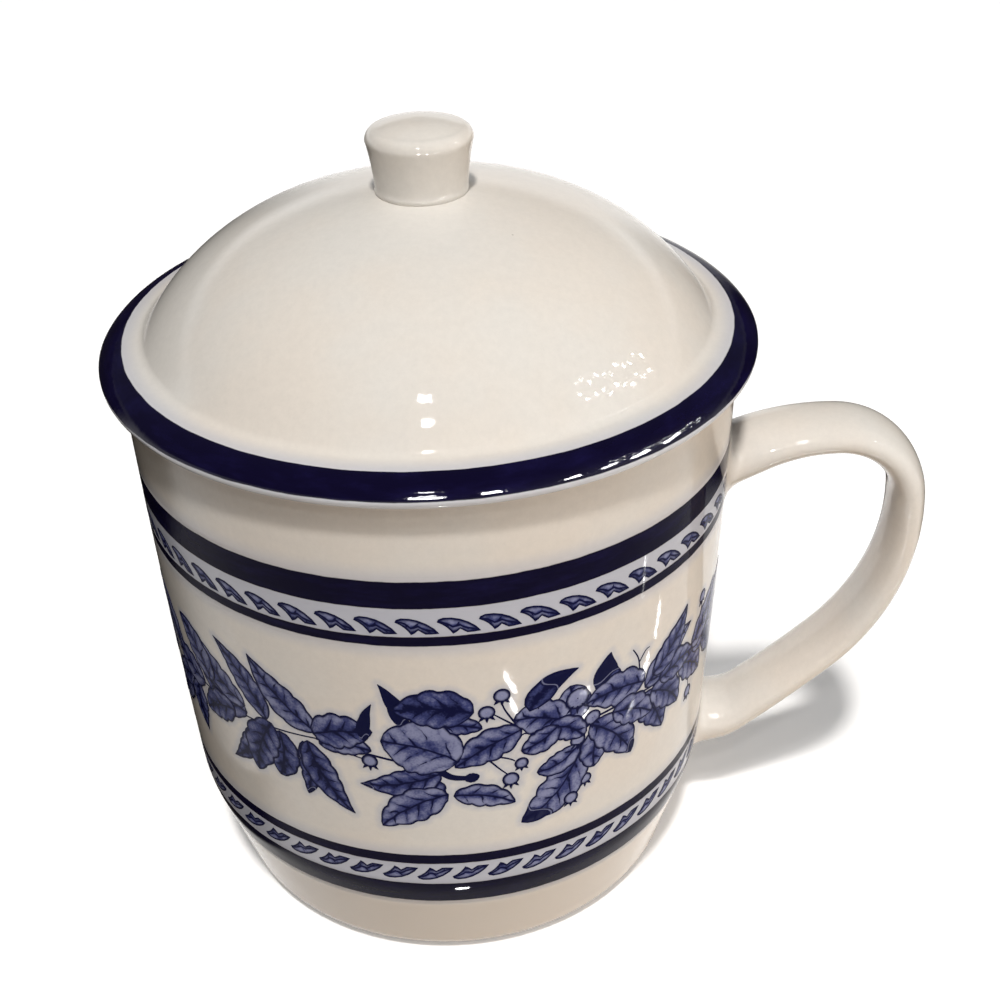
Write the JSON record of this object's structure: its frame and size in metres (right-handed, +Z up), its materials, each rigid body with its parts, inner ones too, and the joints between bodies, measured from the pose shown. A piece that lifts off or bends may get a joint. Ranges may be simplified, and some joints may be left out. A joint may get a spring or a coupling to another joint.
{
  "type": "lidded mug",
  "caption": "Glazed porcelain mug with a strap handle and a loose domed lid that lifts off by its button knob, for hot drinks.",
  "frame": {"origin": "centre of the foot ring, on the plane that the mug stands on", "axes": "+Z up along the mug's axis, +X out along the handle"},
  "size_m": [0.1146, 0.0888, 0.1142],
  "materials": {
    "porcelain_mug": "glossy warm white glaze",
    "porcelain_handle": "glossy warm white glaze",
    "porcelain_lid": "glossy warm white glaze",
    "porcelain_knob": "glossy warm white glaze",
    "cobalt_colour": "cobalt blue fired under the glaze"
  },
  "bodies": {
    "mug": {"mug_body": "porcelain_mug", "handle": "porcelain_handle"},
    "lid": {"lid": "porcelain_lid", "knob": "porcelain_knob"}
  },
  "joints": [
    {"name": "lid_lift", "type": "slide", "parent": "mug", "child": "lid", "axis": [0, 0, 1], "range_m": [0, 0.06]}
  ]
}
